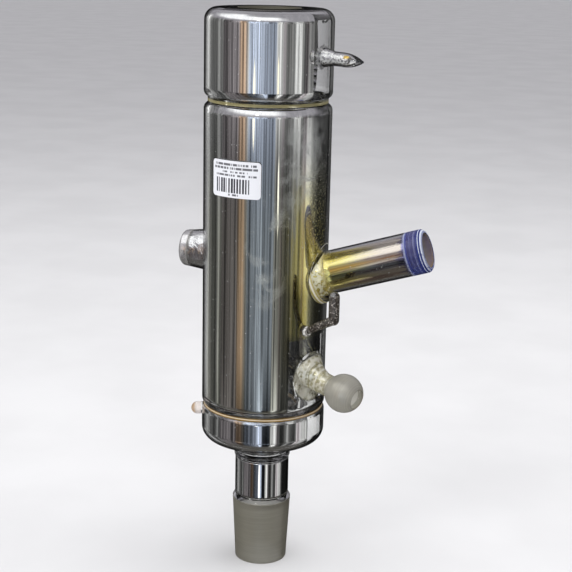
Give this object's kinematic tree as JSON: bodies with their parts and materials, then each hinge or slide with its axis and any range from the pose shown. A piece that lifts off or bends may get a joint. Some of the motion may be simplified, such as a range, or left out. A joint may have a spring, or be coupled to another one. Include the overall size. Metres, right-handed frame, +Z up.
{
  "type": "distillation head",
  "caption": "Tall silvered, vacuum-jacketed glass distillation head with a ground lower joint, a rising side arm, a ball outlet, a short back port and a spring hook.",
  "frame": {"origin": "on the column's axis at the tip of the lower male joint", "axes": "+Z up the column, +X towards the side arm, whose line lies in the XZ plane"},
  "size_m": [0.1942, 0.0943, 0.425],
  "materials": {
    "glass": "fire-polished borosilicate, ground and frosted on the joints",
    "silver": "chemically deposited silver seen through the glass",
    "tinted_silver": "aged silver, thin, clouded and yellowed near the side arm",
    "paper": "white coated paper with plain bars"
  },
  "bodies": {
    "root": {"glass_body": "glass", "cap_silver": "silver", "base_silver": "silver", "neck_silver": "silver", "port_silver": "silver", "main_silver": "tinted_silver", "arm_silver": "tinted_silver", "label": "paper"}
  },
  "joints": []
}
